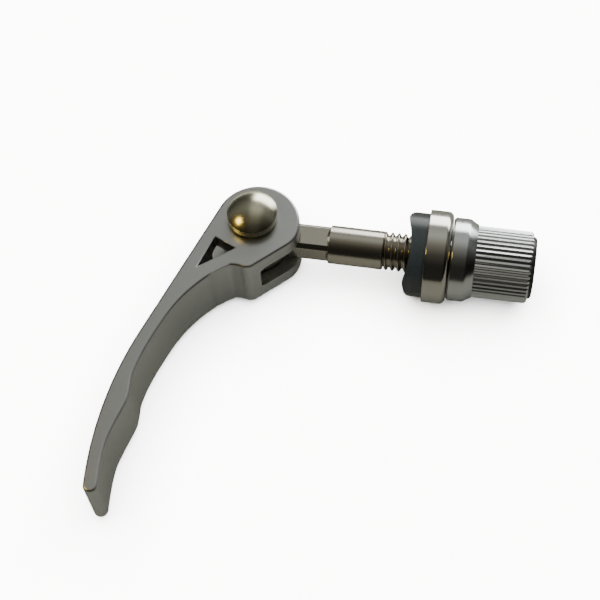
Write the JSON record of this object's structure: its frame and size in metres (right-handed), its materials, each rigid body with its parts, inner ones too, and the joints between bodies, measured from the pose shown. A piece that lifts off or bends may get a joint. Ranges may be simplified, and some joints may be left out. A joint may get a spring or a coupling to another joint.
{
  "type": "seat binder bolt",
  "caption": "Quick-release seat binder bolt: a curved cam lever on an eye bolt, with a saddle washer in a cup washer and a knurled nut on the thread.",
  "frame": {"origin": "on the bolt's axis, at the middle of the lever's pivot pin", "axes": "+X along the bolt from the lever to the nut, +Z along the pivot pin towards its dome, and the lever's blade points to -Y as the picture shows it"},
  "size_m": [0.0601, 0.054, 0.0158],
  "materials": {
    "lever_alloy": "cast, tumbled and polished",
    "pin_steel": "polished dome",
    "bolt_steel": "forged and plated",
    "saddle_plastic": "moulded, black",
    "washer_steel": "mirror polish",
    "nut_metal": "turned and polished, straight knurl",
    "insert_plastic": "moulded, black"
  },
  "bodies": {
    "bolt": {"eye_bolt": "bolt_steel"},
    "lever": {"lever": "lever_alloy", "pivot_pin": "pin_steel"},
    "cup": {"cup_washer": "washer_steel"},
    "saddle": {"saddle_washer": "saddle_plastic"},
    "nut": {"knurled_nut": "nut_metal", "lock_insert": "insert_plastic"}
  },
  "joints": [
    {"name": "lever_swing", "type": "hinge", "parent": "bolt", "child": "lever", "pos_m": [0, 0, 0], "axis": [0, 0, 1], "range_deg": [-180, 50]},
    {"name": "washer_travel", "type": "slide", "parent": "bolt", "child": "cup", "axis": [1, 0, 0], "range_m": [-0.01, 0.006]},
    {"name": "nut_spin", "type": "hinge", "parent": "cup", "child": "nut", "pos_m": [0.0305, 0, 0], "axis": [1, 0, 0], "range_deg": [-3600, 2160]},
    {"name": "saddle_turn", "type": "hinge", "parent": "cup", "child": "saddle", "pos_m": [0.029, 0, 0], "axis": [1, 0, 0], "continuous": true}
  ],
  "couplings": [
    {"joint": "washer_travel", "follows": "nut_spin", "m_per_rad": 0.00015915}
  ]
}
